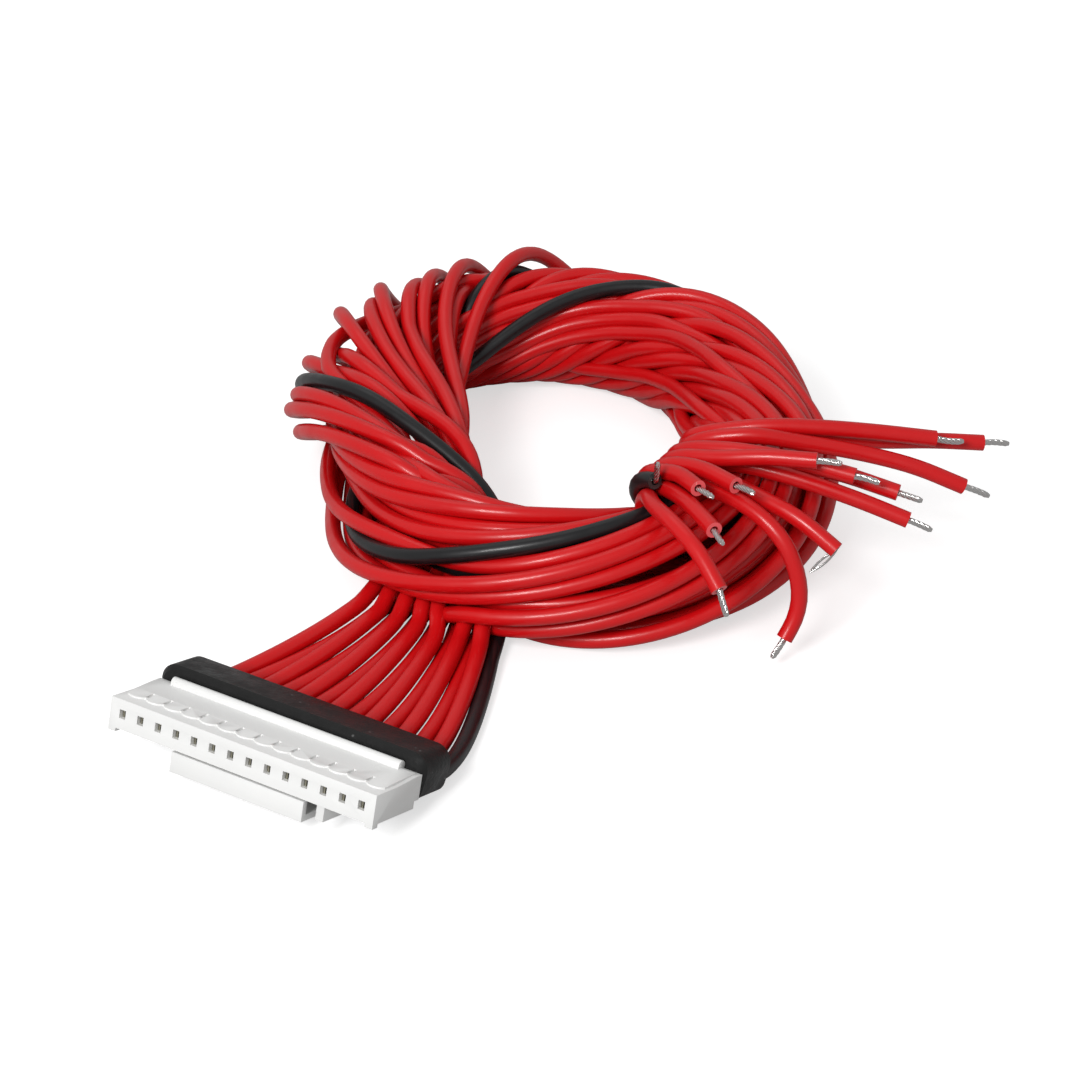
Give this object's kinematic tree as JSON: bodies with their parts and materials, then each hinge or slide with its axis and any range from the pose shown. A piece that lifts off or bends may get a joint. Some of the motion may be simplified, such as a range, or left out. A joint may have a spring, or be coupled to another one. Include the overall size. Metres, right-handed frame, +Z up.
{
  "type": "battery balance wire harness",
  "caption": "Wire harness for sensing battery cells: white row connector with a latch lever, black shrink sleeve, and thin red wires with one black, wound into a wreath with tinned ends.",
  "frame": {"origin": "under the middle of the connector and its sleeve, on the surface that the harness lies on", "axes": "+X along the row of contacts from circuit 1 to circuit 14 (the black wire), +Y from the mating face back towards the wreath, +Z up"},
  "size_m": [0.0769, 0.0936, 0.0178],
  "materials": {
    "housing_nylon": "white moulded nylon, satin, slightly translucent",
    "contact_metal": "stamped contact, dull gold",
    "sleeve_black": "matt black shrink sleeve with fine specks",
    "wire_red": "red flexible insulation, soft satin sheen",
    "wire_black": "black flexible insulation, soft satin sheen",
    "tinned_copper": "tinned stranded copper, bright"
  },
  "bodies": {
    "root": {"connector_housing": "housing_nylon", "shrink_sleeve": "sleeve_black", "wire_coil": "wire_red", "contact_01": "contact_metal", "contact_02": "contact_metal", "contact_03": "contact_metal", "contact_04": "contact_metal", "contact_05": "contact_metal", "contact_06": "contact_metal", "contact_07": "contact_metal", "contact_08": "contact_metal", "contact_09": "contact_metal", "contact_10": "contact_metal", "contact_11": "contact_metal", "contact_12": "contact_metal", "contact_13": "contact_metal", "contact_14": "contact_metal", "lead_01": "wire_red", "lead_02": "wire_red", "lead_03": "wire_red", "lead_04": "wire_red", "lead_05": "wire_red", "lead_06": "wire_red", "lead_07": "wire_red", "lead_08": "wire_red", "lead_09": "wire_red", "lead_10": "wire_red", "lead_11": "wire_red", "lead_12": "wire_red", "lead_13": "wire_red", "lead_14": "wire_black", "tail_01": "wire_red", "tail_02": "wire_red", "tail_03": "wire_red", "tail_04": "wire_red", "tail_05": "wire_red", "tail_06": "wire_red", "tail_07": "wire_red", "tail_08": "wire_red", "tail_09": "wire_red", "tail_10": "wire_red", "tail_11": "wire_red", "tail_12": "wire_red", "tail_13": "wire_red", "tail_14": "wire_black", "bare_end_01": "tinned_copper", "bare_end_02": "tinned_copper", "bare_end_03": "tinned_copper", "bare_end_04": "tinned_copper", "bare_end_05": "tinned_copper", "bare_end_06": "tinned_copper", "bare_end_07": "tinned_copper", "bare_end_08": "tinned_copper", "bare_end_09": "tinned_copper", "bare_end_10": "tinned_copper", "bare_end_11": "tinned_copper", "bare_end_12": "tinned_copper", "bare_end_13": "tinned_copper", "bare_end_14": "tinned_copper"}
  },
  "joints": []
}
